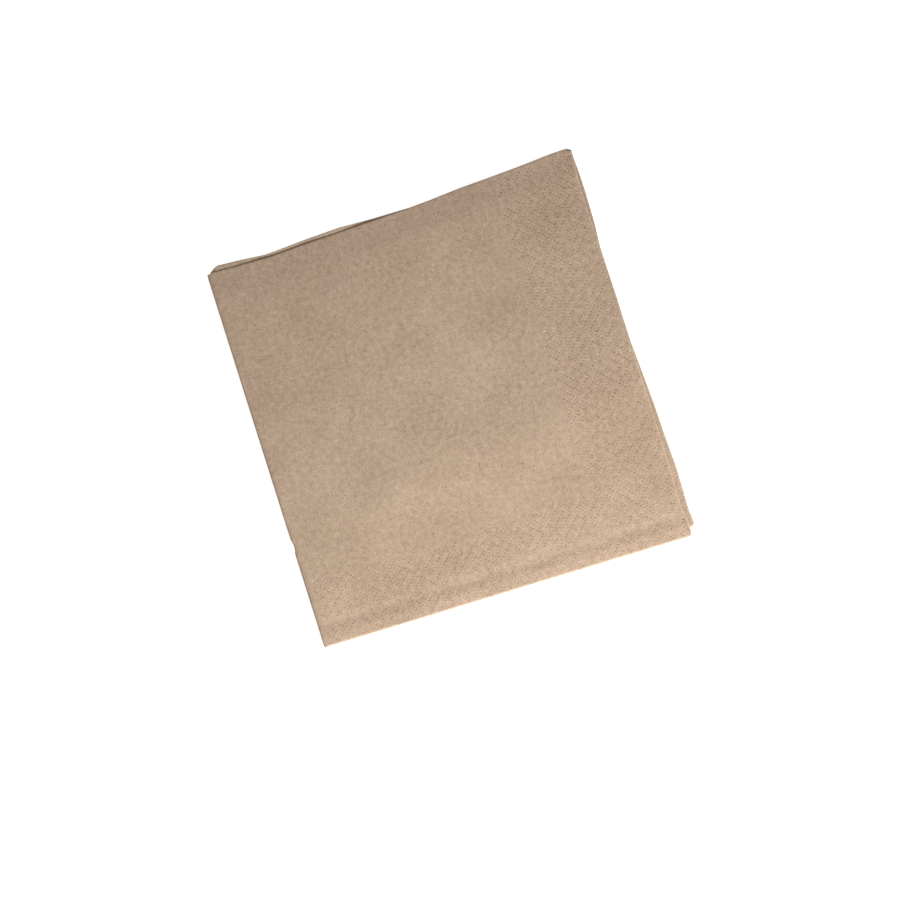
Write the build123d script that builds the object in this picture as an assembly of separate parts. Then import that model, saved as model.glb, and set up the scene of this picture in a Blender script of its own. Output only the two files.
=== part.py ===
from build123d import *
import math
import os

# Paper napkin: one square sheet of two-ply kraft tissue, folded in half along its far edge and in half
# again along its left edge, lying flat. Millimetres and degrees.
#
# Frame: +X runs from the second fold to the cut edges, +Y from the cut edges to the first fold, +Z up.
# The origin is the middle of the bottom of the napkin's box.
#
# From the top the four layers are: front outer, front inner, back inner, back outer. The front leaf is
# the upper two, joined by the first fold, and the back leaf is the lower two, joined the same way. The
# second fold turns round both leaves, so it joins outer to outer and, inside that, inner to inner.

# ---- driving dimensions ----
SHEET_SIDE = 330.0          # the square sheet, opened out
PAPER = 0.30                # one layer: two embossed plies
LEAF_GAP = 0.40             # air between the two layers of a leaf
STACK_GAP = 0.50            # air between the two leaves

FRONT_WIDTH = 163.9         # front leaf, from the outside of the second fold to its cut edge
FRONT_HEIGHT = 165.9        # front leaf at the second fold, from the outside of the first fold down
FRONT_FOLD_SLOPE = 2.04     # rise of the front leaf's folded edge, away from the second fold
FRONT_CUT_SLOPE = -0.59     # rise of its lower cut edge

CORNER_RISE = 3.65          # how far the back leaf's folded edge stands up beyond the front leaf's
CORNER_RUN = 3.6            # the width over which it rises, beside the second fold
BACK_FOLD_SLOPE = -0.90     # rise of the back leaf's folded edge, past the corner
BACK_CUT_SLOPE = 0.70       # rise of its lower cut edge
BACK_SIDE_LEAN = 0.97       # lean of its side cut edge, outwards at the bottom

# ---- what follows from them ----
LEAF = 2 * PAPER + LEAF_GAP
STACK = 2 * LEAF + STACK_GAP
FIRST_BEND = math.pi * (LEAF - PAPER) / 2           # length of paper that the first fold takes up
SECOND_BEND = math.pi * (STACK - PAPER) / 2         # the same, for the outer layers at the second fold

FRONT_RUN = FRONT_WIDTH - STACK / 2                 # flat width of the front leaf
BACK_RUN = SHEET_SIDE - FRONT_RUN - SECOND_BEND     # what is left of the sheet for the back leaf
SPARE = SHEET_SIDE / 8                              # how far untrimmed leaves run on past their cut edges
REACH = 2 * SHEET_SIDE                              # size of a trimming block


def rise(run, slope):
    """Sideways rise of a line of this slope in degrees over this run."""
    return run * math.tan(math.radians(slope))


def step_back(mean_height):
    """How far the inner layer's cut edge stops short of the outer layer's, on a leaf of this mean height.

    The outer layer, the bend and the inner layer together are as long as the sheet.
    """
    return 2 * mean_height - LEAF + FIRST_BEND - SHEET_SIDE


FRONT_MEAN = FRONT_HEIGHT + (rise(FRONT_RUN, FRONT_FOLD_SLOPE) - rise(FRONT_RUN, FRONT_CUT_SLOPE)) / 2
BACK_MEAN = FRONT_HEIGHT + CORNER_RISE + (rise(BACK_RUN, BACK_FOLD_SLOPE) - rise(BACK_RUN, BACK_CUT_SLOPE)) / 2

# The front leaf's two cut edges are parallel. The back leaf's inner one starts level with the front's at
# the second fold, and slopes so that its mean step is its own.
OUTER_LEG = FRONT_HEIGHT - LEAF / 2                 # outer layer at the second fold, first fold to cut edge
INNER_LEG = OUTER_LEG - step_back(FRONT_MEAN)
FRONT_INNER_SLOPE = FRONT_CUT_SLOPE
BACK_INNER_RISE = rise(BACK_RUN, BACK_CUT_SLOPE) - 2 * (step_back(FRONT_MEAN) - step_back(BACK_MEAN))
BACK_INNER_SLOPE = math.degrees(math.atan2(BACK_INNER_RISE, BACK_RUN))


def hairpin(outer_leg, inner_leg):
    """Face of two layers joined by half a ring, in the plane X = 0.

    The ring's centre is at Y = 0, the legs run towards -Y and the outer layer is on top.
    """
    top = STACK
    middle = STACK - LEAF / 2
    bottom = STACK - LEAF
    outer_radius = LEAF / 2
    inner_radius = LEAF_GAP / 2

    def at(y, z):
        return Vector(0, y, z)

    edges = [
        Line(at(-outer_leg, top), at(0, top)),
        ThreePointArc(at(0, top), at(outer_radius, middle), at(0, bottom)),
        Line(at(0, bottom), at(-inner_leg, bottom)),
        Line(at(-inner_leg, bottom), at(-inner_leg, bottom + PAPER)),
        Line(at(-inner_leg, bottom + PAPER), at(0, bottom + PAPER)),
        ThreePointArc(at(0, bottom + PAPER), at(inner_radius, middle), at(0, top - PAPER)),
        Line(at(0, top - PAPER), at(-outer_leg, top - PAPER)),
        Line(at(-outer_leg, top - PAPER), at(-outer_leg, top)),
    ]
    return Face(Wire(edges))


def upside_down(face):
    """The face mirrored about the middle of the stack, as it lies after the second fold."""
    return face.mirror(Plane.XY.offset(STACK / 2))


def run_on(face, run, up):
    """The solid that the face sweeps as it moves along +X by run and along +Y by up."""
    return Solid.extrude(face, Vector(run, up, 0))


def below(y, slope, low, high):
    """Block under a sloping line through (0, y), between two heights."""
    block = Box(2 * REACH, REACH, high - low, align=(Align.CENTER, Align.MAX, Align.MIN))
    return Pos(0, y, low) * Rot(0, 0, slope) * block


def beyond(x, y, lean, low, high):
    """Block to the right of a leaning line through (x, y), between two heights."""
    block = Box(REACH, 2 * REACH, high - low, align=(Align.MIN, Align.CENTER, Align.MIN))
    return Pos(x, y, low) * Rot(0, 0, lean) * block


def front_leaf():
    """Upper leaf: outer layer on top, cut square along its side and trimmed along its lower edges."""
    split = STACK - LEAF / 2
    long_face = hairpin(OUTER_LEG + SPARE, INNER_LEG + SPARE)
    leaf = run_on(long_face, FRONT_RUN, rise(FRONT_RUN, FRONT_FOLD_SLOPE))
    leaf -= below(-OUTER_LEG, FRONT_CUT_SLOPE, split, STACK + PAPER)
    leaf -= below(-INNER_LEG, FRONT_INNER_SLOPE, STACK / 2, split)
    return leaf


def back_leaf():
    """Lower leaf: its folded edge steps up at the corner, and its side edge leans."""
    split = LEAF / 2
    width = BACK_RUN + SPARE - CORNER_RUN
    long_face = upside_down(hairpin(OUTER_LEG + SPARE, INNER_LEG + SPARE))
    corner = run_on(long_face, CORNER_RUN, CORNER_RISE)
    flat = Pos(CORNER_RUN, CORNER_RISE, 0) * run_on(long_face, width, rise(width, BACK_FOLD_SLOPE))
    leaf = corner + flat
    leaf -= below(-OUTER_LEG, BACK_CUT_SLOPE, -PAPER, split)
    leaf -= below(-INNER_LEG, BACK_INNER_SLOPE, split, STACK / 2)
    leaf -= beyond(BACK_RUN, -OUTER_LEG / 2, BACK_SIDE_LEAN, -PAPER, STACK / 2)
    return leaf


def second_fold():
    """Both leaves' layers, turned through half a circle about the left edge."""
    axis = Axis((0, 0, STACK / 2), (0, 1, 0))
    return revolve(hairpin(OUTER_LEG, INNER_LEG), axis, revolution_arc=-180)


def napkin():
    """The whole sheet, moved so that the origin is the middle of the bottom of its box."""
    sheet = front_leaf() + second_fold() + back_leaf()
    box = sheet.bounding_box()
    return Pos(-box.center().X, -box.center().Y, -box.min.Z) * sheet


os.makedirs("parts", exist_ok=True)
folded_sheet = napkin()
export_step(folded_sheet, "parts/napkin.step")

flat_area = folded_sheet.volume / PAPER
print(f"solids {len(folded_sheet.solids())}, valid {folded_sheet.is_valid}")
print(f"box {folded_sheet.bounding_box().size}")
print(f"sheet area {flat_area:.0f} mm2, square of side {math.sqrt(flat_area):.1f} mm")
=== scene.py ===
"""Paper napkin: one square sheet of embossed kraft tissue, folded in quarters and lying flat.

The sheet is laid out on a lattice that follows it round both folds. Every lattice point is placed by
its layer's own outline, so the layers' edges and folds lie where a hand-folded napkin has them, and the
embossed border is pressed into the sheet's outer face as real pits. Lengths in this file are in
millimetres, and are turned into metres where a mesh or a node needs them.
"""

import logging
import math
from dataclasses import dataclass, field
from enum import Enum

import bpy
import numpy as np
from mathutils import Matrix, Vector

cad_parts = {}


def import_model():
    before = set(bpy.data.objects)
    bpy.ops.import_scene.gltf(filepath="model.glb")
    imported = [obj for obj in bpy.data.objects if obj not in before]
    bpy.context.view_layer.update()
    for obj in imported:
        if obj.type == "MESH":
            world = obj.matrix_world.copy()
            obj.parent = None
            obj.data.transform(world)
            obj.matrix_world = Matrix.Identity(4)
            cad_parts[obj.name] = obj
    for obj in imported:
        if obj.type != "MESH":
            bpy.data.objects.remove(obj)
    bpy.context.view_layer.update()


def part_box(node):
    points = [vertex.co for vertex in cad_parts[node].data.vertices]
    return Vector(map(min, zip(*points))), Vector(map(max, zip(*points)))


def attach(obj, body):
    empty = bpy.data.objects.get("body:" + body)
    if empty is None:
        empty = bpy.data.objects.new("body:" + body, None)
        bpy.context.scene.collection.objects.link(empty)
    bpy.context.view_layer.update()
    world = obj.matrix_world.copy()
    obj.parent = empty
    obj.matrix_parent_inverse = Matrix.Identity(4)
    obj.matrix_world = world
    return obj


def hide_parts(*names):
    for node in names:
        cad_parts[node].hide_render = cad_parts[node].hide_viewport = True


LOG = logging.getLogger("paper_napkin")
MM = 0.001
NODE = "napkin"
CHART = "Sheet"
OCTAVE_SHARE = 0.55

Socket = bpy.types.NodeSocket
Array = np.ndarray
Block = tuple[int, int, int, int]
Pits = dict[tuple[int, int], bool]


class Side(Enum):
    """The sheet's two faces, with the way that each lies from the middle of the paper."""

    OUTER = 1
    INNER = -1


class Motif(Enum):
    """How one block of the embossed border is divided into dotted rings.

    Each ring is given by its first and last site along the block, then across it.
    """

    NESTED = ((1, 8, 1, 8), (3, 6, 3, 6))
    HALVES_ALONG = ((1, 4, 1, 8), (6, 8, 1, 8))
    HALVES_ACROSS = ((1, 8, 1, 4), (1, 8, 6, 8))
    QUARTERS = ((1, 4, 1, 4), (6, 8, 1, 4), (1, 4, 6, 8), (6, 8, 6, 8))


def smooth(value: Array) -> Array:
    """Smooth step from 0 to 1 as the value goes from 0 to 1."""
    held = np.clip(value, 0, 1)
    return held * held * (3 - 2 * held)


def bump(value: Array, centre: float, width: float) -> Array:
    """Bell of height 1 at the centre."""
    return np.exp(-(((value - centre) / width) ** 2))


@dataclass(frozen=True)
class Swell:
    """One bell-shaped rise or hollow.

    Attributes:
        height: Its height, or its strength where it scales something else.
        centre: Where it lies.
        width: How wide it is.
    """

    height: float
    centre: float
    width: float

    def at(self, value: Array) -> Array:
        """Its height at each place."""
        return self.height * bump(value, self.centre, self.width)


@dataclass(frozen=True)
class Line:
    """A smooth curve through a few points, used for an edge of one layer.

    Attributes:
        points: Pairs of place along the edge and height across it.
        soft: How far each bend of the line is rounded.
        samples: How many heights the rounding averages.
    """

    points: tuple[tuple[float, float], ...]
    soft: float = 2.0
    samples: int = 5

    def at(self, along: Array) -> Array:
        """Gives the height of the line.

        Args:
            along: Places along the edge.

        Returns:
            Heights across it, averaged over the rounding length.
        """
        places = [point[0] for point in self.points]
        heights = [point[1] for point in self.points]
        steps = np.linspace(-self.soft, self.soft, self.samples)
        return sum(np.interp(along + step, places, heights) for step in steps) / self.samples


@dataclass(frozen=True)
class Fold:
    """Sizes of the folded sheet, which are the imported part's own.

    Attributes:
        side: Side of the square sheet, opened out.
        paper: Thickness of one layer.
        leaf_gap: Air between the two layers of a leaf.
        stack_gap: Air between the two leaves.
        front_run: Flat width of the front leaf.
        back_run: Flat width of the back leaf.
        outer_leg: Outer layer's length from the first fold to its cut edge.
    """

    side: float = 330.0
    paper: float = 0.30
    leaf_gap: float = 0.40
    stack_gap: float = 0.50
    front_run: float = 162.65
    back_run: float = 163.9
    outer_leg: float = 165.4

    @property
    def leaf(self) -> float:
        """Thickness of two layers and the air between them."""
        return 2 * self.paper + self.leaf_gap

    @property
    def stack(self) -> float:
        """Thickness of the whole napkin."""
        return 2 * self.leaf + self.stack_gap

    @property
    def left(self) -> float:
        """Distance from the outside of the second fold to its centre line."""
        return self.stack / 2

    @property
    def levels(self) -> tuple[float, ...]:
        """Heights at which a layer ends and the next begins, from the lowest layer's top."""
        back_inner = self.paper + self.leaf_gap
        front_inner = self.stack - self.leaf
        return (self.paper, back_inner, back_inner + self.paper, front_inner, front_inner + self.paper,
                self.stack - self.paper)


@dataclass(frozen=True)
class Outline:
    """Where each layer's edges lie, from the outside of the second fold and the first fold's left end.

    Attributes:
        front_fold: Folded edge of the front leaf.
        back_fold: Folded edge of the back leaf, which stands up beyond it at the left.
        front_cut: Lower cut edge of the top layer.
        back_cut: Lower cut edge of the lowest layer.
        front_inner_cut: Lower cut edge of the layer under the top one.
        back_inner_cut: Lower cut edge of the layer below that.
        front_side: Side edge of the top layer, from the bottom up.
        front_inner_side: Side edge of the layer under it.
        back_side: Side edge of the back leaf.
        corner_round: How far the corners are rounded.
        climb: How far the first fold rises above its left end.
        crease: Small crease where the second fold is pushed in.
        crease_reach: How far it runs into the sheet.
    """

    front_fold: Line = Line(
        ((0, -0.2), (1.75, 1.15), (14.8, 0.6), (28, 0.2), (42, 0.85), (87, 2.0), (100, 2.65), (114, 3.7),
         (128, 4.3), (141, 4.95), (155, 5.95), (166, 6.2)), 0.8)
    back_fold: Line = Line(
        ((0, 0.0), (1.25, 0.85), (4.5, 3.4), (15.4, 2.65), (26.3, 1.65), (33, 2.0), (44, 2.65), (60, 3.2),
         (73.5, 2.6), (110, 2.0), (166, 1.2)), 0.5)
    front_cut: Line = Line(((0, -165.9), (40, -166.35), (90, -166.8), (164, -167.6)))
    back_cut: Line = Line(((0, -165.9), (166, -163.95)))
    front_inner_cut: Line = Line(((0, -156.9), (80, -157.9), (164, -158.6)))
    back_inner_cut: Line = Line(((0, -156.5), (166, -163.9)))
    front_side: Line = Line(
        ((-168, 163.95), (-160, 164.2), (-153, 163.2), (-138, 163.7), (-110, 163.8), (-60, 163.8),
         (-34, 163.5), (-20, 163.2), (-8, 163.4), (2, 164.1), (6, 164.3)))
    front_inner_side: Line = Line(
        ((-168, 163.4), (-60, 163.3), (-38, 163.6), (-28, 164.4), (-12, 164.7), (-3, 164.5), (2, 164.2),
         (6, 164.3)))
    back_side: Line = Line(
        ((-164, 166.5), (-157, 165.95), (-150, 166.15), (-137, 166.35), (-123, 165.75), (-110, 165.5),
         (-89, 164.4), (-76, 163.7), (-40, 163.0), (6, 162.8)))
    corner_round: float = 1.2
    climb: float = 5.79
    crease: Swell = Swell(0.9, -121, 1.7)
    crease_reach: float = 2.5

    def rounding(self, inside: Array) -> Array:
        """How far a corner is drawn in, from the distances to the side edge."""
        short = np.clip(self.corner_round - inside, 0, self.corner_round)
        return self.corner_round - np.sqrt(np.maximum(self.corner_round**2 - short**2, 0))

    def pushed_in(self, x: Array, y: Array) -> Array:
        """How far the small crease moves the paper away from the second fold."""
        return self.crease.at(y) * np.exp(-x / self.crease_reach)


@dataclass(frozen=True)
class Lattice:
    """Half-cell stations over the sheet: columns from the front's side edge, rows from the outer cut edge.

    Attributes:
        front_cells: Cells across the front leaf.
        back_cells: Cells across the back leaf.
        outer_cells: Cells along the outer layers.
        inner_cells: Cells along the inner layers.
        second_steps: Steps round the second fold.
        first_steps: Steps round the first fold.
    """

    front_cells: int = 153
    back_cells: int = 154
    outer_cells: int = 158
    inner_cells: int = 151
    second_steps: int = 12
    first_steps: int = 10

    @property
    def columns(self) -> Block:
        """Front side edge, both ends of the second fold, back side edge."""
        first = 2 * self.front_cells
        return (0, first, first + self.second_steps, first + self.second_steps + 2 * self.back_cells)

    @property
    def rows(self) -> Block:
        """Outer cut edge, both ends of the first fold, inner cut edge."""
        first = 2 * self.outer_cells
        return (0, first, first + self.first_steps, first + self.first_steps + 2 * self.inner_cells)


@dataclass(frozen=True)
class Waves:
    """Soft waves: a few plane waves in seeded directions.

    Attributes:
        longest: Length of the longest wave.
        seed: Seed of the directions, lengths and phases.
        count: How many waves.
        shortest_share: Shortest wave's length as a share of the longest.
    """

    longest: float
    seed: int
    count: int = 7
    shortest_share: float = 0.45

    def at(self, x: Array, y: Array) -> Array:
        """Adds the waves up.

        Args:
            x: Places across the napkin.
            y: Places along it.

        Returns:
            Heights, mostly within -1 and 1.
        """
        draw = np.random.default_rng(self.seed)
        total = np.zeros_like(x)
        for _ in range(self.count):
            turn, phase = draw.uniform(0, math.tau, 2)
            length = self.longest * draw.uniform(self.shortest_share, 1.0)
            across = x * math.cos(turn) + y * math.sin(turn)
            total += np.sin(across * math.tau / length + phase) * length / self.longest
        return total / math.sqrt(self.count)


@dataclass(frozen=True)
class Relief:
    """How the paper lies: soft waves of the whole napkin, and the top layer's own shape.

    Attributes:
        lift: Height of the napkin's waves.
        spread: Extra air between the layers, where they stand apart.
        whole_waves: Waves of the whole napkin.
        air_waves: Waves of the air between the layers.
        top_waves: Waves of the top layer alone.
        curl: Rise of the back leaf where it shows past the front leaf's fold.
        curl_reach: Distance over which it rises.
        curl_start: Distance from the second fold over which the curl begins.
        press: How much flatter the napkin is at its folded edge.
        press_reach: How far from that edge it is flatter.
        trough: Trough over the hidden cut edge, by distance above the top layer's cut edge.
        ridge: Ridge below it.
        evenness: Share of the trough and ridge that is the same all along.
        deep_spots: Places along the edge where they are strongest.
        sag: How far the top layer drops towards its cut edge.
        sag_reach: Distance over which it drops.
        roll: How far its cut edge rolls down.
        roll_reach: Distance over which it rolls.
        pleat: Height of the slanting pleats in the plain area.
        pleat_length: Distance from one pleat to the next.
        pleat_slant: Direction across the pleats.
        pleat_across: Where the pleats lie across the napkin.
        pleat_along: Where they lie along it.
        top_swell: Height of the top layer's waves.
        swell_from: Distance above the cut edge at which they begin.
        swell_reach: Distance over which they grow.
    """

    lift: float = 0.55
    spread: float = 0.5
    whole_waves: Waves = Waves(95.0, 11)
    air_waves: Waves = Waves(70.0, 12)
    top_waves: Waves = Waves(24.0, 13)
    curl: float = 0.85
    curl_reach: float = 1.7
    curl_start: float = 3.0
    press: float = 0.45
    press_reach: float = 14.0
    trough: Swell = Swell(-0.36, 9.4, 2.1)
    ridge: Swell = Swell(0.20, 4.3, 2.2)
    evenness: float = 0.55
    deep_spots: tuple[Swell, ...] = (
        Swell(1.0, 67, 9), Swell(1.0, 98, 10), Swell(0.7, 20, 14), Swell(0.5, 140, 12))
    sag: float = 0.15
    sag_reach: float = 6.5
    roll: float = 0.40
    roll_reach: float = 1.3
    pleat: float = 0.10
    pleat_length: float = 10.5
    pleat_slant: tuple[float, float] = (0.62, 0.78)
    pleat_across: Swell = Swell(1.0, 88, 30)
    pleat_along: Swell = Swell(1.0, -114, 11)
    top_swell: float = 0.10
    swell_from: float = 8.0
    swell_reach: float = 12.0

    def whole(self, x: Array, y: Array) -> Array:
        """Lift of the whole napkin off the floor, never below it."""
        return self.lift * np.clip(0.55 + 0.55 * self.whole_waves.at(x, y), 0.0, None)

    def between(self, x: Array, y: Array) -> Array:
        """Extra air between the layers, never less than none."""
        return self.spread * np.clip(0.5 + 0.5 * self.air_waves.at(x, y), 0.0, None)

    def curled(self, x: Array, past: Array) -> Array:
        """Rise of the back leaf past the front leaf's fold."""
        return self.curl * smooth(past / self.curl_reach) * smooth(x / self.curl_start)

    def top(self, x: Array, y: Array, above: Array) -> Array:
        """The top layer's own shape.

        Args:
            x: Places across the napkin.
            y: Places along it.
            above: Distances above the top layer's lower cut edge.

        Returns:
            Heights to add to the top layer.
        """
        deep = sum(spot.at(x) for spot in self.deep_spots)
        strength = self.evenness + (1 - self.evenness) * deep
        height = strength * (self.trough.at(above) + self.ridge.at(above))
        height -= self.sag * smooth((self.sag_reach - above) / self.sag_reach)
        height -= self.roll * np.clip(1 - above / self.roll_reach, 0, 1) ** 2
        slant = (x * self.pleat_slant[0] + y * self.pleat_slant[1]) * math.tau / self.pleat_length
        height += self.pleat * np.sin(slant) * self.pleat_across.at(x) * self.pleat_along.at(y)
        grown = smooth((above - self.swell_from) / self.swell_reach)
        return height + self.top_swell * self.top_waves.at(x, y) * grown


@dataclass(frozen=True)
class Border:
    """The embossed border: dotted rings in slanting blocks along the sheet's cut edges.

    Attributes:
        side_cells: Width of the border along the side edges, in cells.
        cut_cells: Width of the border along the other two cut edges.
        strip_cells: Width of the back leaf's inner layer that gets pits, where it shows past the front.
        block: Sites along one side of a block.
        shares: How common each motif is.
        openings: A ring has this many ways to be drawn, of which four leave a side open.
        depth: Depth of a pit.
        depth_range: Smallest and largest share of that depth.
        mouth: Radius of a pit's rim, in half cells.
        floor: Radius of its floor, in half cells.
        floor_share: Share of the depth at which the floor begins.
        jitter: How far a pit strays, in half cells.
        seed: Seed of the blocks' motifs.
        pit_seed: Seed of the pits' depths.
    """

    side_cells: int = 33
    cut_cells: int = 27
    strip_cells: int = 5
    block: int = 9
    shares: tuple[float, ...] = (0.34, 0.22, 0.22, 0.22)
    openings: int = 9
    depth: float = 0.24
    depth_range: tuple[float, float] = (0.75, 1.2)
    mouth: float = 0.98
    floor: float = 0.56
    floor_share: float = 0.82
    jitter: float = 0.09
    seed: int = 5
    pit_seed: int = 45

    def sites(self, cells: tuple[int, int], quarter: int) -> Array:
        """Marks the cells of one quarter of the sheet that hold a pit.

        Args:
            cells: How many cells the quarter has away from its side edge and from its cut edge.
            quarter: Number of the quarter, which sets its seed.

        Returns:
            Table of True and False over the quarter's cells, counted from its edges.
        """
        across, along = np.meshgrid(np.arange(cells[0]), np.arange(cells[1]), indexing="ij")
        in_border = (across < self.side_cells) | (along < self.cut_cells)
        off_edge = (across >= 1) & (along >= 1) & (across < cells[0] - 1) & (along < cells[1] - 1)
        block_a, site_a = np.divmod((across + along) // 2, self.block)
        block_b, site_b = np.divmod((across - along) // 2, self.block)
        draw = np.random.default_rng(self.seed + quarter)
        span = 2 * sum(cells) // self.block
        motifs = draw.choice(len(Motif), size=(span, span), p=self.shares)
        gaps = draw.integers(0, self.openings, size=(span, span))
        chosen = motifs[block_a, block_b + span // 2]
        open_side = gaps[block_a, block_b + span // 2]
        dotted = np.zeros(across.shape, bool)
        for number, motif in enumerate(Motif):
            for low_a, high_a, low_b, high_b in motif.value:
                inside = (site_a >= low_a) & (site_a <= high_a) & (site_b >= low_b) & (site_b <= high_b)
                sides = (site_a == low_a, site_a == high_a, site_b == low_b, site_b == high_b)
                drawn = np.any([here & (open_side != side) for side, here in enumerate(sides)], axis=0)
                dotted |= (chosen == number) & inside & drawn
        return dotted & in_border & off_edge & ((across + along) % 2 == 0)


@dataclass
class FoldedSheet:
    """The napkin's one piece: a closed mesh of the whole sheet, folded twice.

    Attributes:
        fold: Sizes of the folded sheet.
        outline: Edges of its layers.
        lattice: Stations over the sheet.
        relief: How the paper lies.
        border: The embossed border.
        points: Groups of points added so far.
        charts: The same points on the flat sheet.
        faces: Corners of each face, by number.
        count: How many points there are.
    """

    fold: Fold = Fold()
    outline: Outline = Outline()
    lattice: Lattice = Lattice()
    relief: Relief = Relief()
    border: Border = Border()
    points: list[Array] = field(default_factory=list)
    charts: list[Array] = field(default_factory=list)
    faces: list[list[int]] = field(default_factory=list)
    count: int = 0

    def down_the_leaf(self, x: Array, back: Array, inner: Array, leg: Array) -> tuple[Array, Array]:
        """Finds the places between a layer's fold and its cut edge.

        Args:
            x: Places across the napkin.
            back: Share of the way round the second fold.
            inner: Share of the way round the first fold.
            leg: Share of the way from the first fold to the cut edge.

        Returns:
            The places along the napkin, and where the layers are cut.
        """
        edge = self.outline
        crest = (1 - back) * edge.front_fold.at(x) + back * edge.back_fold.at(x) - self.fold.leaf / 2
        outer = (1 - back) * edge.front_cut.at(x) + back * edge.back_cut.at(x)
        hidden = (1 - back) * edge.front_inner_cut.at(x) + back * edge.back_inner_cut.at(x)
        cut = (1 - inner) * outer + inner * hidden
        return crest + leg * (cut - crest), cut

    def place(self, column: Array, row: Array, away: Array) -> Array:
        """Places points of the sheet, folded and lying on the floor.

        Args:
            column: Lattice columns, whole or not.
            row: Lattice rows.
            away: Distance from the middle of the paper, positive towards the outer face.

        Returns:
            Points in millimetres from the fold's left end, one row each.
        """
        fold, edge = self.fold, self.outline
        back = np.interp(column, self.lattice.columns, (0, 0, 1, 1))
        run = np.interp(column, self.lattice.columns, (1, 0, 0, 1))
        inner = np.interp(row, self.lattice.rows, (0, 0, 1, 1))
        leg = np.interp(row, self.lattice.rows, (1, 0, 0, 1))
        y, _ = self.down_the_leaf(fold.left + run * fold.front_run, back, inner, leg)
        front = (1 - inner) * edge.front_side.at(y) + inner * edge.front_inner_side.at(y)
        side = (1 - back) * front + back * edge.back_side.at(y)
        x = fold.left + run * (side - fold.left)
        y, cut = self.down_the_leaf(x, back, inner, leg)
        near_corner = smooth(np.abs(leg - 0.5) * 8 - 3)
        y = y + edge.rounding(side - x) * np.where(leg > 0.5, 1, -1) * near_corner
        from_leaf = (fold.leaf - fold.paper) / 2 + away
        y = y + from_leaf * np.sin(math.pi * inner)
        radius = (fold.stack - fold.leaf) / 2 + from_leaf * np.cos(math.pi * inner)
        x = x - radius * np.sin(math.pi * back)
        x = x + edge.pushed_in(x, y)
        z = fold.left + radius * np.cos(math.pi * back)
        return np.stack([x, y, z + self.settle(x, y, z, cut)], axis=-1)

    def settle(self, x: Array, y: Array, z: Array, cut: Array) -> Array:
        """Height that the way the paper lies adds to each point.

        Args:
            x: Places across the napkin.
            y: Places along it.
            z: Flat heights.
            cut: Where the point's own layer is cut.

        Returns:
            Heights to add.
        """
        levels = self.fold.levels
        share = np.interp(z, levels, (0, 1 / 3, 1 / 3, 2 / 3, 2 / 3, 1))
        topmost = smooth((z - levels[4]) / self.fold.leaf_gap)
        past = y - self.outline.front_fold.at(x)
        in_back_leaf = z < self.fold.left
        loose = smooth(-past / self.relief.press_reach)
        height = self.relief.whole(x, y) + share * self.relief.between(x, y) * loose
        height -= self.relief.press * share * (1 - loose)
        height += topmost * self.relief.top(x, y, y - cut)
        return height + self.relief.curled(x, past) * in_back_leaf

    def chart(self, column: Array, row: Array) -> Array:
        """Places points on the flat sheet, in metres, for the pattern's map.

        Args:
            column: Lattice columns.
            row: Lattice rows.

        Returns:
            Pairs of distances from the sheet's corner.
        """
        fold = self.fold
        second_bend = math.pi * (fold.stack - fold.paper) / 2
        first_bend = math.pi * (fold.leaf - fold.paper) / 2
        ends_across = np.cumsum((0, fold.front_run, second_bend, fold.back_run))
        ends_along = np.cumsum((0, fold.outer_leg, first_bend, fold.side - first_bend - fold.outer_leg))
        across = np.interp(column, self.lattice.columns, ends_across)
        along = np.interp(row, self.lattice.rows, ends_along)
        return np.stack([across, along], axis=-1) * MM

    def add(self, column: Array, row: Array, away: Array) -> Array:
        """Adds points to the mesh.

        Args:
            column: Lattice columns.
            row: Lattice rows.
            away: Distances from the middle of the paper.

        Returns:
            Numbers of the new points.
        """
        self.points.append(self.place(column, row, away).reshape(-1, 3))
        self.charts.append(self.chart(column, row).reshape(-1, 2))
        added = self.points[-1].shape[0]
        self.count += added
        return np.arange(self.count - added, self.count)

    def regions(self, side: Side) -> list[tuple[int, ...]]:
        """Lists the rectangles of a face: fine in the border and at the folds, coarse elsewhere.

        Args:
            side: Face of the sheet.

        Returns:
            Rows of first and last column, first and last row, and a block's columns and rows.
        """
        edge, turn, turned, last = self.lattice.columns
        cut, bend, bent, end = self.lattice.rows
        if side is Side.INNER:
            across = ((edge, turn, 12, 8, 12), (turn, turned, 2, 2, 8), (turned, last, 12, 8, 12))
            plain = []
            for left, right, wide, wide_at_bend, tall in across:
                plain.append((left, right, cut, bend, wide, tall))
                plain.append((left, right, bend, bent, wide_at_bend, 2))
                plain.append((left, right, bent, end, wide, tall))
            return plain
        border, foot = 2 * self.border.side_cells, 2 * self.border.cut_cells
        strip = last - 2 * self.border.strip_cells
        return [
            (edge, turn, cut, cut + 2, 1, 1),
            (edge, border, cut + 2, bend, 2, 2),
            (border, turn, cut + 2, foot, 2, 2),
            (border, turn, foot, bend, 4, 4),
            (edge, turn, bend, bent, 4, 1),
            (edge, turn, bent, end, 8, 8),
            (turn, turned, cut, bend, 1, 4),
            (turn, turned, bend, bent, 1, 1),
            (turn, turned, bent, end, 1, 4),
            (turned, last - border, cut, foot, 2, 2),
            (turned, last - border, foot, bend, 8, 8),
            (last - border, last, cut, bend, 2, 2),
            (turned, last, bend, bent, 4, 1),
            (turned, strip, bent, end, 8, 8),
            (strip, last, bent, end, 2, 2),
        ]

    def blocks(self, side: Side) -> list[Block]:
        """Divides every region of a face into blocks.

        Args:
            side: Face of the sheet.

        Returns:
            Rows of first and last column, and first and last row.
        """
        cells = []
        for left, right, low, high, wide, tall in self.regions(side):
            columns = [*range(left, right, wide), right]
            rows = [*range(low, high, tall), high]
            cells += [(a, b, c, d) for a, b in zip(columns, columns[1:]) for c, d in zip(rows, rows[1:])]
        return cells

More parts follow.
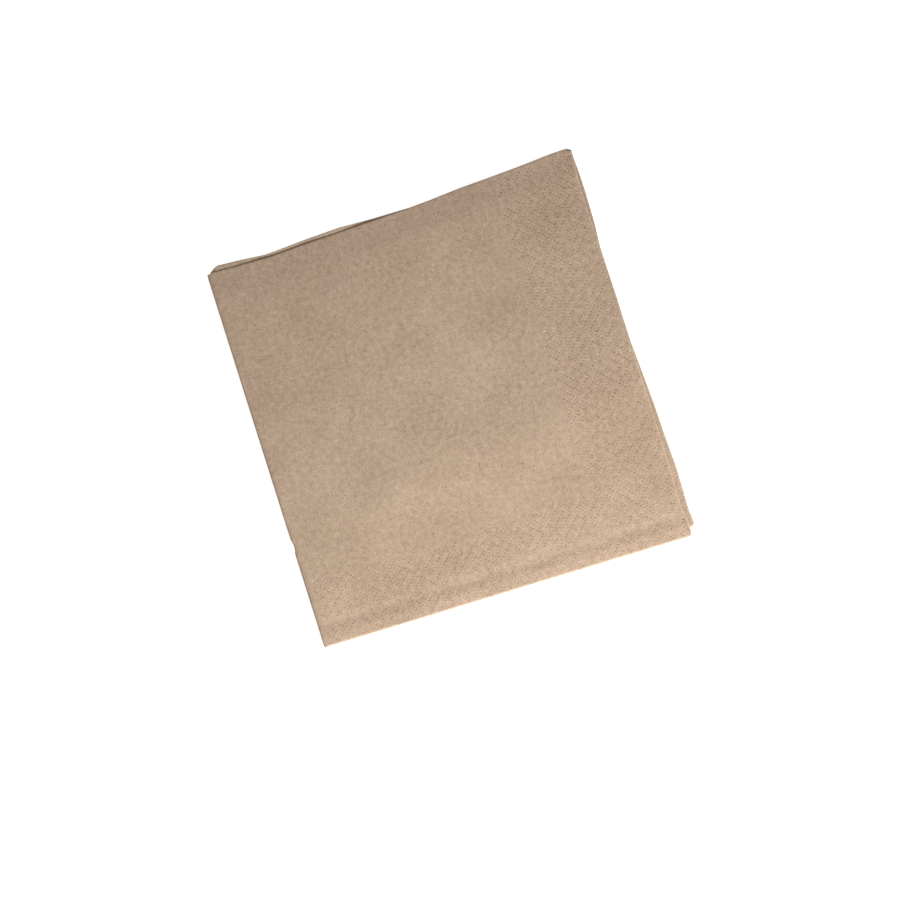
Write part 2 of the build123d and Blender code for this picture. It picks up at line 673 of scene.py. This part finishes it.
    def pits(self) -> Pits:
        """Finds the cells of the outer face that hold a pit.

        Returns:
            First column and row of each cell, with True where the pit can be seen from above.
        """
        lattice = self.lattice
        last, end = lattice.columns[3], lattice.rows[3]
        quarters = (
            (lattice.front_cells, lattice.outer_cells, False, False, lattice.front_cells),
            (lattice.back_cells, lattice.outer_cells, True, False, lattice.back_cells),
            (lattice.back_cells, lattice.inner_cells, True, True, self.border.strip_cells),
        )
        found = {}
        for number, (across, along, back, inner, dotted_cells) in enumerate(quarters):
            for cell, line in np.argwhere(self.border.sites((across, along), number)):
                if cell < dotted_cells:
                    column = last - 2 * cell - 2 if back else 2 * cell
                    row = end - 2 * line - 2 if inner else 2 * line
                    found[(int(column), int(row))] = inner or not back
        return found

    def press(self, pits: Pits, numbers: Array) -> None:
        """Adds the embossed pits, round where they can be seen from above and plain cones below.

        Args:
            pits: Cells with a pit, with True where it can be seen from above.
            numbers: Numbers of the outer face's lattice points.
        """
        border = self.border
        draw = np.random.default_rng(border.pit_seed)
        surface = self.fold.paper / 2
        steps = ((0, 0), (0, 1), (0, 2), (1, 2), (2, 2), (2, 1), (2, 0), (1, 0))
        first_turn = 5 * math.pi / 4
        turns = first_turn - np.arange(len(steps)) * math.tau / len(steps)
        for (column, row), round_pit in pits.items():
            depth = border.depth * draw.uniform(*border.depth_range)
            middle = np.array((column + 1, row + 1)) + draw.uniform(-border.jitter, border.jitter, 2)
            ring = np.array([numbers[column + a, row + b] for a, b in steps])
            bottom = self.add(middle[:1], middle[1:], np.array([surface - depth]))
            if round_pit:
                for radius, share in ((border.mouth, 0.0), (border.floor, border.floor_share)):
                    smaller = self.add(
                        middle[0] + radius * np.cos(turns), middle[1] + radius * np.sin(turns),
                        np.full(len(steps), surface - share * depth))
                    wall = [ring, np.roll(ring, -1), np.roll(smaller, -1), smaller]
                    self.faces += np.stack(wall, axis=1).tolist()
                    ring = smaller
            cone = [ring, np.roll(ring, -1), np.broadcast_to(bottom, ring.shape)]
            self.faces += np.stack(cone, axis=1).tolist()

    def used_points(self, cells: dict[Side, list[Block]], pits: Pits) -> dict[Side, Array]:
        """Marks the lattice points that the faces need.

        Args:
            cells: Blocks of each face.
            pits: First column and row of each pit's cell.

        Returns:
            Table of True and False for each face.
        """
        columns, rows = self.lattice.columns[3], self.lattice.rows[3]
        used = {side: np.zeros((columns + 1, rows + 1), bool) for side in Side}
        for side in Side:
            for left, right, low, high in cells[side]:
                used[side][[left, left, right, right], [low, high, low, high]] = True
        for column, row in pits:
            used[Side.OUTER][column:column + 3, row:row + 3] = True
            used[Side.OUTER][column + 1, row + 1] = False
        either = used[Side.OUTER] | used[Side.INNER]
        for side in Side:
            for cut in (np.s_[0, :], np.s_[columns, :], np.s_[:, 0], np.s_[:, rows]):
                used[side][cut] = either[cut]
        return used

    def number_points(self, side: Side, used: Array) -> Array:
        """Adds a face's lattice points.

        Args:
            side: Face of the sheet.
            used: Table of the points that it needs.

        Returns:
            Table of their numbers, with -1 where there is none.
        """
        spots = np.argwhere(used).astype(float)
        away = np.full(len(spots), side.value * self.fold.paper / 2)
        numbers = np.full(used.shape, -1)
        numbers[used] = self.add(spots[:, 0], spots[:, 1], away)
        return numbers

    def cover(self, side: Side, cells: list[Block], numbers: Array) -> None:
        """Makes one face of the sheet, each block taking in every point on its edges.

        Args:
            side: Face of the sheet.
            cells: Its blocks.
            numbers: Numbers of its lattice points.
        """
        for left, right, low, high in cells:
            ring = np.concatenate([
                numbers[left:right, low], numbers[right, low:high],
                numbers[left + 1:right + 1, high][::-1], numbers[left, low + 1:high + 1][::-1]])
            ring = ring[ring >= 0]
            self.faces.append((ring[::-1] if side is Side.OUTER else ring).tolist())

    def bind_edge(self, outer: Array, inner: Array) -> None:
        """Closes the sheet with a strip all round its cut edges.

        Args:
            outer: Numbers of the outer face's lattice points.
            inner: Numbers of the inner face's.
        """
        columns, rows = self.lattice.columns[3], self.lattice.rows[3]
        walk = [(column, 0) for column in range(columns)]
        walk += [(columns, row) for row in range(rows)]
        walk += [(column, rows) for column in range(columns, 0, -1)]
        walk += [(0, row) for row in range(rows, 0, -1)]
        walk = [spot for spot in walk if outer[spot] >= 0]
        for here, there in zip(walk, walk[1:] + walk[:1]):
            self.faces.append([int(outer[here]), int(outer[there]), int(inner[there]), int(inner[here])])

    def make_faces(self) -> int:
        """Makes both faces of the sheet and the strip round its cut edges.

        Returns:
            Number of the strip's first face.
        """
        pits = self.pits()
        cells = {side: self.blocks(side) for side in Side}
        used = self.used_points(cells, pits)
        numbers = {side: self.number_points(side, used[side]) for side in Side}
        plain = [block for block in cells[Side.OUTER] if (block[0], block[2]) not in pits]
        self.cover(Side.OUTER, plain, numbers[Side.OUTER])
        self.cover(Side.INNER, cells[Side.INNER], numbers[Side.INNER])
        self.press(pits, numbers[Side.OUTER])
        first_of_strip = len(self.faces)
        self.bind_edge(numbers[Side.OUTER], numbers[Side.INNER])
        LOG.info("embossed border: %d pits", len(pits))
        return first_of_strip

    def build(self, corner: Vector) -> bpy.types.Object:
        """Makes the piece.

        Args:
            corner: Where the fold's left end lies, in metres.

        Returns:
            The folded sheet, with its pattern's map.
        """
        first_of_strip = self.make_faces()
        places = np.concatenate(self.points) * MM + np.array(corner)
        mesh = bpy.data.meshes.new("folded_sheet")
        mesh.from_pydata(places.tolist(), [], self.faces)
        chart = mesh.uv_layers.new(name=CHART)
        corners = np.zeros(len(mesh.loops), int)
        mesh.loops.foreach_get("vertex_index", corners)
        chart.data.foreach_set("uv", np.concatenate(self.charts)[corners].ravel())
        smooth_shaded = np.arange(len(mesh.polygons)) < first_of_strip
        mesh.polygons.foreach_set("use_smooth", smooth_shaded)
        mesh.update()
        sheet = bpy.data.objects.new("folded_sheet", mesh)
        bpy.context.scene.collection.objects.link(sheet)
        triangles = sum(len(face) - 2 for face in self.faces)
        LOG.info("folded sheet: %d points, %d triangles", len(places), triangles)
        return sheet


class Nodes:
    """A material's node tree, with short ways to add to it."""

    def __init__(self, name: str) -> None:
        """Starts a material whose patterns lie on the flat sheet.

        Args:
            name: Name of the material.
        """
        self.material = bpy.data.materials.new(name)
        self.material.use_nodes = True
        self.tree = self.material.node_tree
        self.shader = self.tree.nodes["Principled BSDF"]
        chart = self.new("ShaderNodeUVMap")
        chart.uv_map = CHART
        self.sheet = chart.outputs["UV"]

    def new(self, kind: str) -> bpy.types.Node:
        """Adds a node."""
        return self.tree.nodes.new(kind)

    def link(self, source: Socket | float, target: Socket) -> None:
        """Joins a socket, or sets a plain value.

        Args:
            source: An output, or a value.
            target: The input that takes it.
        """
        if isinstance(source, (int, float)):
            target.default_value = source
        else:
            self.tree.links.new(source, target)

    def maths(self, how: str, first: Socket | float, second: Socket | float = 0.0) -> Socket:
        """Adds a sum.

        Args:
            how: Operation of the Math node.
            first: Its first value.
            second: Its second value.

        Returns:
            The result.
        """
        node = self.new("ShaderNodeMath")
        node.operation = how
        self.link(first, node.inputs[0])
        self.link(second, node.inputs[1])
        return node.outputs[0]

    def add_share(self, total: Socket | float, value: Socket, amount: float) -> Socket:
        """Adds an amount of a value to a total."""
        return self.maths("ADD", total, self.maths("MULTIPLY", value, amount))

    def ramp(self, value: Socket, zero_at: float, one_at: float) -> Socket:
        """Goes from 0 to 1 between two values, whichever is higher.

        Args:
            value: The value.
            zero_at: Where the result is 0.
            one_at: Where it is 1.

        Returns:
            The result, held within 0 and 1.
        """
        node = self.new("ShaderNodeMapRange")
        self.link(value, node.inputs["Value"])
        node.inputs["From Min"].default_value = zero_at
        node.inputs["From Max"].default_value = one_at
        return node.outputs["Result"]

    def mix(self, share: Socket, first: tuple[float, ...], second: tuple[float, ...]) -> Socket:
        """Mixes two colours.

        Args:
            share: Share of the second colour.
            first: The first colour.
            second: The second colour.

        Returns:
            The mixed colour.
        """
        node = self.new("ShaderNodeMix")
        node.data_type = "RGBA"
        colours = [socket for socket in node.inputs if socket.type == "RGBA"]
        colours[0].default_value = (*first, 1.0)
        colours[1].default_value = (*second, 1.0)
        self.link(share, node.inputs[0])
        return next(socket for socket in node.outputs if socket.type == "RGBA")

    def noise(self, scale: float, detail: float, distortion: float = 0.0) -> Socket:
        """Adds a noise over the flat sheet.

        Args:
            scale: Features to the metre.
            detail: Octaves of it.
            distortion: How far it is stirred.

        Returns:
            Its value, about 0.5 on average.
        """
        node = self.new("ShaderNodeTexNoise")
        node.noise_dimensions = "2D"
        node.inputs["Scale"].default_value = scale
        node.inputs["Detail"].default_value = detail
        node.inputs["Roughness"].default_value = OCTAVE_SHARE
        node.inputs["Distortion"].default_value = distortion
        self.link(self.sheet, node.inputs["Vector"])
        return node.outputs["Fac"]


@dataclass(frozen=True)
class Grain:
    """One size of light and dark in the paper.

    Attributes:
        scale: Features to the metre.
        detail: Octaves.
        amount: How strong it is.
        distortion: How far it is stirred.
    """

    scale: float
    detail: float
    amount: float
    distortion: float = 0.0


@dataclass(frozen=True)
class Threads:
    """Fine fibres: the contours of a noise, broken by a mask.

    Attributes:
        scale: Features of the contoured noise to the metre.
        fine: Half width of the fibres, in noise values.
        mask_scale: Features of the mask to the metre.
        mask_from: Mask value at which the fibres start.
        amount: How light they are, or how dark where it is negative.
        mask_soft: Mask values over which they fade in.
    """

    scale: float
    fine: float
    mask_scale: float
    mask_from: float
    amount: float
    mask_soft: float = 0.06

    def draw(self, nodes: Nodes) -> Socket:
        """Draws the fibres.

        Args:
            nodes: The material's nodes.

        Returns:
            1 on the fibres, 0 off them.
        """
        contour = nodes.maths("ABSOLUTE", nodes.maths("SUBTRACT", nodes.noise(self.scale, 1.0, 0.6), 0.5))
        mask = nodes.ramp(nodes.noise(self.mask_scale, 1.0), self.mask_from, self.mask_from + self.mask_soft)
        return nodes.maths("MULTIPLY", nodes.ramp(contour, self.fine, 0.0), mask)


@dataclass(frozen=True)
class Specks:
    """Small spots where a noise is very low or very high.

    Attributes:
        scale: Features to the metre.
        none_at: Noise value at which there is no spot.
        full_at: Noise value at which the spot is full.
        amount: How light the spots are, or how dark where it is negative.
    """

    scale: float
    none_at: float
    full_at: float
    amount: float


@dataclass(frozen=True)
class KraftTissue:
    """Finish of the sheet: unbleached tissue with clouds, fibres and specks, and a painted highlight along
    its cut edges.

    Attributes:
        colour: Colour of the paper.
        edge_highlight_colour: Lighter colour at its cut edges, a painted highlight where the edge catches the
            light.
        highlight_from: Distance from the cut edge at which the painted highlight begins, in metres.
        highlight_full: Distance at which the painted highlight is full.
        warmth: How strongly each channel follows light and dark, so that dark places stay warm.
        grains: Clouds, mottling and fine grain.
        pale_threads: Light fibres.
        dark_threads: Dark fibres.
        specks: Dark specks and light flecks.
        relief: Grain of the fine relief.
        thread_relief: How far the light fibres stand up in it.
        relief_depth: Depth of it, in metres.
        relief_strength: Strength of it.
        roughness: Roughness of the paper.
        shine: Its specular level.
    """

    colour: tuple[float, float, float] = (0.515, 0.375, 0.268)
    # Painted highlight: a lighter colour along the cut edges, where the paper's edge catches the light.
    edge_highlight_colour: tuple[float, float, float] = (0.70, 0.52, 0.36)
    highlight_from: float = 0.0008
    highlight_full: float = 0.0003
    warmth: tuple[float, float, float] = (1.0, 1.15, 1.33)
    grains: tuple[Grain, ...] = (Grain(34, 3.0, 0.26), Grain(420, 2.0, 0.40), Grain(1500, 2.0, 0.58, 0.8))
    pale_threads: Threads = Threads(520, 0.020, 310, 0.52, 0.19)
    dark_threads: Threads = Threads(610, 0.018, 290, 0.54, -0.20)
    specks: tuple[Specks, ...] = (Specks(900, 0.20, 0.15, -0.22), Specks(760, 0.80, 0.86, 0.14))
    relief: Grain = Grain(1700, 2.0, 1.0)
    thread_relief: float = 0.5
    relief_depth: float = 0.00012
    relief_strength: float = 0.8
    roughness: float = 0.95
    shine: float = 0.15

    def make(self) -> bpy.types.Material:
        """Makes the material.

        Returns:
            The kraft tissue.
        """
        nodes = Nodes("kraft_tissue")
        pale = self.pale_threads.draw(nodes)
        # Painted highlight: the colour turns lighter towards the cut edges, standing in for the edge catching
        # the light.
        painted_edge_highlight = nodes.ramp(self.from_edge(nodes), self.highlight_from, self.highlight_full)
        colour = self.shaded(nodes, nodes.mix(painted_edge_highlight, self.colour, self.edge_highlight_colour), self.shade(nodes, pale))
        nodes.link(colour, nodes.shader.inputs["Base Color"])
        height = nodes.add_share(nodes.noise(self.relief.scale, self.relief.detail), pale, self.thread_relief)
        self.roughen(nodes, height)
        nodes.shader.inputs["Roughness"].default_value = self.roughness
        nodes.shader.inputs["Specular IOR Level"].default_value = self.shine
        return nodes.material

    def shade(self, nodes: Nodes, pale: Socket) -> Socket:
        """Adds up the paper's light and dark.

        Args:
            nodes: The material's nodes.
            pale: The light fibres.

        Returns:
            About 1, less where the paper is darker.
        """
        total = 1.0
        for grain in self.grains:
            noise = nodes.noise(grain.scale, grain.detail, grain.distortion)
            total = nodes.add_share(total, nodes.maths("SUBTRACT", noise, 0.5), grain.amount)
        total = nodes.add_share(total, pale, self.pale_threads.amount)
        total = nodes.add_share(total, self.dark_threads.draw(nodes), self.dark_threads.amount)
        for specks in self.specks:
            spots = nodes.ramp(nodes.noise(specks.scale, 0.0), specks.none_at, specks.full_at)
            total = nodes.add_share(total, spots, specks.amount)
        return total

    def shaded(self, nodes: Nodes, colour: Socket, shade: Socket) -> Socket:
        """Makes a colour lighter, or darker and as much warmer as shaded kraft is.

        Args:
            nodes: The material's nodes.
            colour: The colour.
            shade: 1 where it stays as it is.

        Returns:
            The shaded colour.
        """
        tint = nodes.new("ShaderNodeCombineXYZ")
        for channel, power in enumerate(self.warmth):
            nodes.link(nodes.maths("POWER", shade, power), tint.inputs[channel])
        product = nodes.new("ShaderNodeVectorMath")
        product.operation = "MULTIPLY"
        nodes.link(colour, product.inputs[0])
        nodes.link(tint.outputs[0], product.inputs[1])
        return product.outputs[0]

    def from_edge(self, nodes: Nodes) -> Socket:
        """Measures the distance to the sheet's nearest cut edge.

        Args:
            nodes: The material's nodes.

        Returns:
            The distance in metres.
        """
        split = nodes.new("ShaderNodeSeparateXYZ")
        nodes.link(nodes.sheet, split.inputs[0])
        nearest = []
        for place in (split.outputs["X"], split.outputs["Y"]):
            far = nodes.maths("SUBTRACT", Fold.side * MM, place)
            nearest.append(nodes.maths("MINIMUM", place, far))
        return nodes.maths("MINIMUM", *nearest)

    def roughen(self, nodes: Nodes, height: Socket) -> None:
        """Gives the paper its fine relief.

        Args:
            nodes: The material's nodes.
            height: Height of the relief.
        """
        relief = nodes.new("ShaderNodeBump")
        relief.inputs["Strength"].default_value = self.relief_strength
        relief.inputs["Distance"].default_value = self.relief_depth
        nodes.link(height, relief.inputs["Height"])
        nodes.link(relief.outputs["Normal"], nodes.shader.inputs["Normal"])


@dataclass(frozen=True)
class Studio:
    """Floor, lights and camera.

    Attributes:
        centre: Middle of the view, in millimetres from the fold's left end.
        turn: How far the camera is turned about the vertical, in degrees.
        width: What the view takes in at the napkin's top, in millimetres.
        height: Camera's height above it, in millimetres.
        key_azimuth: Where the key light stands, in degrees.
        key_reach: Its distance across the floor, in metres.
        key_height: Its height, in metres.
        key_size: Its width, in metres.
        key_power: Its power in watts.
        ambient: Strength of the even light.
        floor_size: Side of the floor, in metres.
        floor_grey: Colour of the floor.
        floor_glow: What is added to the floor's own light in the view, to show it white.
    """

    centre: tuple[float, float] = (76.40, -101.54)
    turn: float = -17.52
    width: float = 383.67
    height: float = 1200.0
    key_azimuth: float = -77.5
    key_reach: float = 0.47
    key_height: float = 0.335
    key_size: float = 0.13
    key_power: float = 3.25
    ambient: float = 0.385
    floor_size: float = 6.0
    floor_grey: float = 0.9
    floor_glow: float = 0.72

    def lay_floor(self, level: float) -> bpy.types.Object:
        """Lays a pale floor that shows white and keeps the napkin's shadow.

        Args:
            level: Height of the floor in metres.

        Returns:
            The floor.
        """
        bpy.ops.mesh.primitive_plane_add(size=self.floor_size, location=(0, 0, level))
        floor = bpy.context.object
        floor.name = "floor"
        floor.data.materials.append(self.pale_finish())
        return floor

    def pale_finish(self) -> bpy.types.Material:
        """Makes the floor's material.

        Returns:
            A matt pale grey that glows a little in the view only.
        """
        material = bpy.data.materials.new("pale_floor")
        material.use_nodes = True
        tree = material.node_tree
        shader = tree.nodes["Principled BSDF"]
        shader.inputs["Base Color"].default_value = (self.floor_grey, self.floor_grey, self.floor_grey, 1.0)
        shader.inputs["Roughness"].default_value = 1.0
        shader.inputs["Specular IOR Level"].default_value = 0.0
        path = tree.nodes.new("ShaderNodeLightPath")
        glow = tree.nodes.new("ShaderNodeMath")
        glow.operation = "MULTIPLY"
        glow.inputs[1].default_value = self.floor_glow
        tree.links.new(path.outputs["Is Camera Ray"], glow.inputs[0])
        shader.inputs["Emission Color"].default_value = (1.0, 1.0, 1.0, 1.0)
        tree.links.new(glow.outputs[0], shader.inputs["Emission Strength"])
        return material

    def hang_key(self, middle: Vector) -> None:
        """Adds the key light, low and to one side, so that the border's relief shows.

        Args:
            middle: Middle of the napkin in metres.
        """
        azimuth = math.radians(self.key_azimuth)
        spot = middle + Vector((
            self.key_reach * math.cos(azimuth), self.key_reach * math.sin(azimuth), self.key_height))
        lamp = bpy.data.lights.new("key", "AREA")
        lamp.shape = "DISK"
        lamp.size = self.key_size
        lamp.energy = self.key_power
        key = bpy.data.objects.new("key", lamp)
        key.location = spot
        key.rotation_euler = (middle - spot).to_track_quat("-Z", "Y").to_euler()
        key.visible_camera = False
        bpy.context.scene.collection.objects.link(key)

    def fill_evenly(self) -> None:
        """Adds the even light, from a world that shows white in the view."""
        world = bpy.data.worlds.new("even_light")
        world.use_nodes = True
        tree = world.node_tree
        back = tree.nodes["Background"]
        back.inputs["Color"].default_value = (1.0, 1.0, 1.0, 1.0)
        path = tree.nodes.new("ShaderNodeLightPath")
        strength = tree.nodes.new("ShaderNodeMapRange")
        strength.inputs["To Min"].default_value = self.ambient
        strength.inputs["To Max"].default_value = 1.0
        tree.links.new(path.outputs["Is Camera Ray"], strength.inputs["Value"])
        tree.links.new(strength.outputs["Result"], back.inputs["Strength"])
        bpy.context.scene.world = world

    def aim(self, corner: Vector, top: float) -> None:
        """Adds the camera, straight above the napkin.

        Args:
            corner: Where the fold's left end lies, in metres.
            top: Height of the napkin's top.
        """
        lens = bpy.data.cameras.new("above")
        lens.lens = lens.sensor_width * self.height / self.width
        camera = bpy.data.objects.new("above", lens)
        camera.location = (
            corner.x + self.centre[0] * MM, corner.y + self.centre[1] * MM, top + self.height * MM)
        camera.rotation_euler = (0.0, 0.0, math.radians(self.turn))
        bpy.context.scene.collection.objects.link(camera)
        bpy.context.scene.camera = camera


def main() -> None:
    """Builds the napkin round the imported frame, and lights it."""
    logging.basicConfig(level=logging.INFO, format="%(name)s: %(message)s")
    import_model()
    low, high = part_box(NODE)
    left_end = Vector((low.x, high.y - Outline.climb * MM, low.z))
    sheet = FoldedSheet().build(left_end)
    sheet.data.materials.append(KraftTissue().make())
    studio = Studio()
    floor = studio.lay_floor(low.z)
    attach(sheet, "root")
    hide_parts(NODE)
    studio.hang_key((low + high) / 2)
    studio.fill_evenly()
    studio.aim(left_end, high.z)
    bpy.context.scene.view_settings.view_transform = "Standard"
    LOG.info("napkin on the floor, %.1f by %.1f mm", (high.x - low.x) / MM, (high.y - low.y) / MM)


if __name__ == "__main__":
    main()
